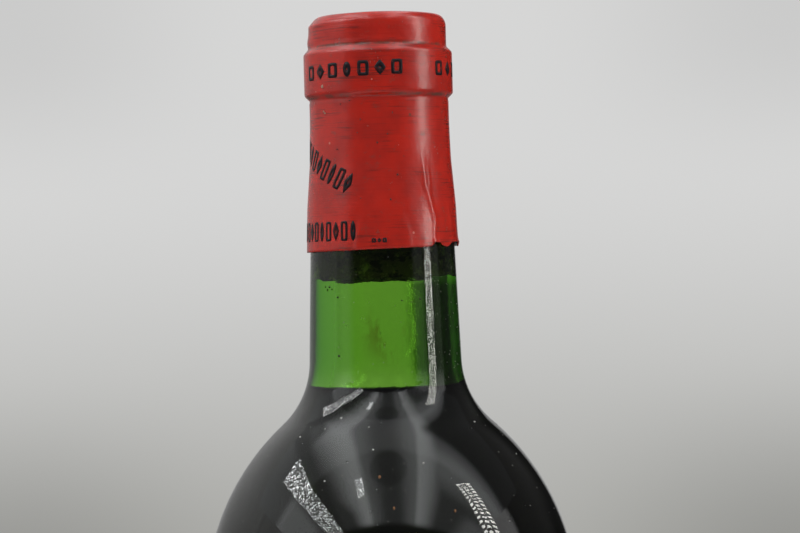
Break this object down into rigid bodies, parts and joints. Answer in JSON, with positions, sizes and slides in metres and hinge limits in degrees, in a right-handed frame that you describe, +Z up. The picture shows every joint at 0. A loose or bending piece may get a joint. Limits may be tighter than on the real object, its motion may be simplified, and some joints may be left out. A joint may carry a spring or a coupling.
{
  "type": "wine bottle",
  "caption": "Corked green glass wine bottle with a plain red foil capsule, filled with dark wine to the foot of its neck.",
  "frame": {"origin": "centre of the base, on the plane that the bottle stands on", "axes": "+Z up along the bottle's axis, -Y is the front, +X is to the right seen from the front"},
  "size_m": [0.0754, 0.0754, 0.3002],
  "materials": {
    "green_glass": "polished",
    "wine": "gloss",
    "cork": "matt",
    "foil": "satin"
  },
  "bodies": {
    "root": {"glass_bottle": "green_glass", "wine": "wine", "cork": "cork", "capsule": "foil"}
  },
  "joints": []
}
